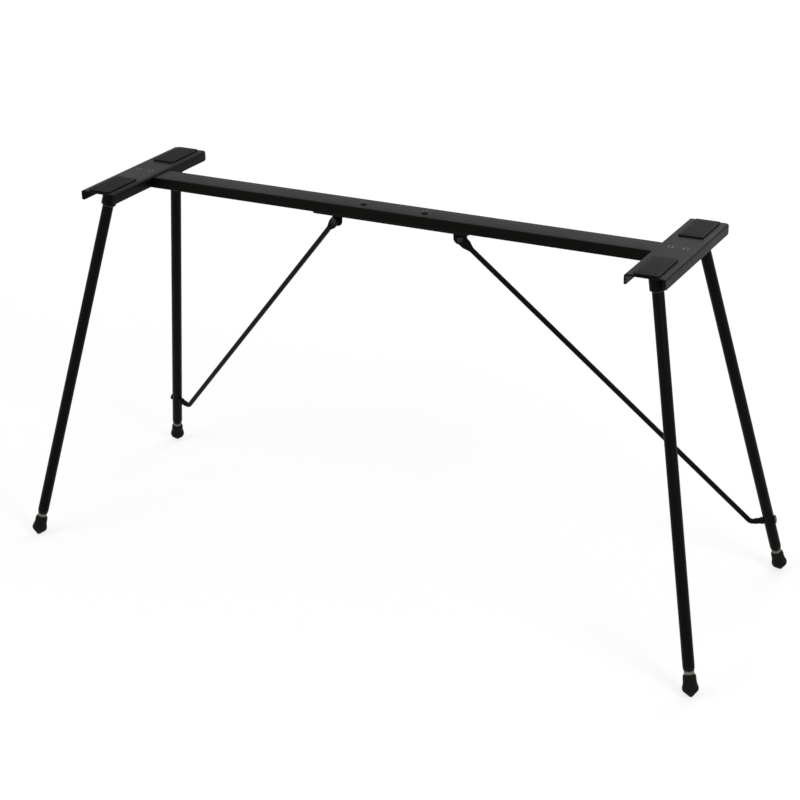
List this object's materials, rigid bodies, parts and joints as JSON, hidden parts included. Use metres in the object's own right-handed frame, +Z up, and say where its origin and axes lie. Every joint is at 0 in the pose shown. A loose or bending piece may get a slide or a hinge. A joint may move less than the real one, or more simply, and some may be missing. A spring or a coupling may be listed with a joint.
{
  "type": "keyboard stand",
  "caption": "Keyboard stand with splayed round legs, levelling feet, and diagonal rear braces rising to a flat spine between side brackets.",
  "frame": {"origin": "on the floor, in the middle of the feet", "axes": "+X to the player's right along the spine, +Y to the rear, away from the player, +Z up"},
  "size_m": [1.34, 0.5036, 0.68],
  "materials": {
    "black_coat": "satin black powder coat on steel",
    "black_plastic": "moulded black plastic",
    "rubber": "moulded black rubber",
    "zinc": "dull zinc-plated steel",
    "black_zinc": "black zinc-plated steel"
  },
  "bodies": {
    "frame": {"spine": "black_coat", "brace_bracket": "black_coat", "left_side_bracket": "black_coat", "left_spine_screw_inner": "black_zinc", "left_spine_screw_outer": "black_zinc", "left_spine_nut_inner": "black_zinc", "left_spine_nut_outer": "black_zinc", "left_bracket_screw": "black_zinc", "left_bracket_nut": "black_zinc", "left_pivot_screw": "black_zinc", "left_brace": "black_coat", "left_brace_spacer": "black_plastic", "right_side_bracket": "black_coat", "right_spine_screw_inner": "black_zinc", "right_spine_screw_outer": "black_zinc", "right_spine_nut_inner": "black_zinc", "right_spine_nut_outer": "black_zinc", "right_bracket_screw": "black_zinc", "right_bracket_nut": "black_zinc", "right_pivot_screw": "black_zinc", "right_brace": "black_coat", "right_brace_spacer": "black_plastic", "front_left_pad": "rubber", "front_left_leg_socket": "black_coat", "front_right_pad": "rubber", "front_right_leg_socket": "black_coat", "rear_left_pad": "rubber", "rear_left_leg_socket": "black_coat", "rear_left_leg_tube": "black_coat", "rear_left_leg_stud": "black_zinc", "rear_left_leg_plug": "black_plastic", "rear_right_pad": "rubber", "rear_right_leg_socket": "black_coat", "rear_right_leg_tube": "black_coat", "rear_right_leg_stud": "black_zinc", "rear_right_leg_plug": "black_plastic"},
    "front_left_leg": {"front_left_leg_tube": "black_coat", "front_left_leg_stud": "black_zinc", "front_left_leg_plug": "black_plastic"},
    "front_left_foot": {"front_left_foot_stem": "zinc", "front_left_foot": "rubber"},
    "front_left_lock_nut": {"front_left_lock_nut": "zinc"},
    "front_right_leg": {"front_right_leg_tube": "black_coat", "front_right_leg_stud": "black_zinc", "front_right_leg_plug": "black_plastic"},
    "front_right_foot": {"front_right_foot_stem": "zinc", "front_right_foot": "rubber"},
    "front_right_lock_nut": {"front_right_lock_nut": "zinc"},
    "rear_left_foot": {"rear_left_foot_stem": "zinc", "rear_left_foot": "rubber"},
    "rear_left_lock_nut": {"rear_left_lock_nut": "zinc"},
    "rear_right_foot": {"rear_right_foot_stem": "zinc", "rear_right_foot": "rubber"},
    "rear_right_lock_nut": {"rear_right_lock_nut": "zinc"},
    "left_brace_bolt": {"left_brace_bolt": "black_zinc"},
    "left_pivot_nut": {"left_pivot_nut": "black_zinc"},
    "right_brace_bolt": {"right_brace_bolt": "black_zinc"},
    "right_pivot_nut": {"right_pivot_nut": "black_zinc"}
  },
  "joints": [
    {"name": "front_left_leg_turn", "type": "hinge", "parent": "frame", "child": "front_left_leg", "pos_m": [-0.52025, -0.102, 0.68], "axis": [0.1967, 0.1967, 0.9605], "continuous": true},
    {"name": "front_left_foot_height", "type": "slide", "parent": "front_left_leg", "child": "front_left_foot", "axis": [-0.1967, -0.1967, -0.9605], "range_m": [0, 0.012]},
    {"name": "front_left_lock_nut_turn", "type": "hinge", "parent": "front_left_foot", "child": "front_left_lock_nut", "pos_m": [-0.52025, -0.102, 0.68], "axis": [0.1967, 0.1967, 0.9605], "continuous": true},
    {"name": "front_right_leg_turn", "type": "hinge", "parent": "frame", "child": "front_right_leg", "pos_m": [0.52025, -0.102, 0.68], "axis": [-0.1967, 0.1967, 0.9605], "continuous": true},
    {"name": "front_right_foot_height", "type": "slide", "parent": "front_right_leg", "child": "front_right_foot", "axis": [0.1967, -0.1967, -0.9605], "range_m": [0, 0.012]},
    {"name": "front_right_lock_nut_turn", "type": "hinge", "parent": "front_right_foot", "child": "front_right_lock_nut", "pos_m": [0.52025, -0.102, 0.68], "axis": [-0.1967, 0.1967, 0.9605], "continuous": true},
    {"name": "rear_left_foot_height", "type": "slide", "parent": "frame", "child": "rear_left_foot", "axis": [-0.1967, 0.1967, -0.9605], "range_m": [0, 0.012]},
    {"name": "rear_left_lock_nut_turn", "type": "hinge", "parent": "rear_left_foot", "child": "rear_left_lock_nut", "pos_m": [-0.52025, 0.102, 0.68], "axis": [0.1967, -0.1967, 0.9605], "continuous": true},
    {"name": "rear_right_foot_height", "type": "slide", "parent": "frame", "child": "rear_right_foot", "axis": [0.1967, 0.1967, -0.9605], "range_m": [0, 0.012]},
    {"name": "rear_right_lock_nut_turn", "type": "hinge", "parent": "rear_right_foot", "child": "rear_right_lock_nut", "pos_m": [0.52025, 0.102, 0.68], "axis": [-0.1967, -0.1967, 0.9605], "continuous": true},
    {"name": "left_brace_bolt_turn", "type": "hinge", "parent": "frame", "child": "left_brace_bolt", "pos_m": [-0.63789, 0.21964, 0.1055], "axis": [-0.9549, 0.1837, 0.2332], "continuous": true},
    {"name": "left_pivot_nut_turn", "type": "hinge", "parent": "frame", "child": "left_pivot_nut", "pos_m": [-0.12294, 0.00933, 0.632], "axis": [0.3895, 0.921, 0], "continuous": true},
    {"name": "right_brace_bolt_turn", "type": "hinge", "parent": "frame", "child": "right_brace_bolt", "pos_m": [0.63789, 0.21964, 0.1055], "axis": [0.9549, 0.1837, 0.2332], "continuous": true},
    {"name": "right_pivot_nut_turn", "type": "hinge", "parent": "frame", "child": "right_pivot_nut", "pos_m": [0.12294, 0.00933, 0.632], "axis": [-0.3895, 0.921, 0], "continuous": true}
  ]
}
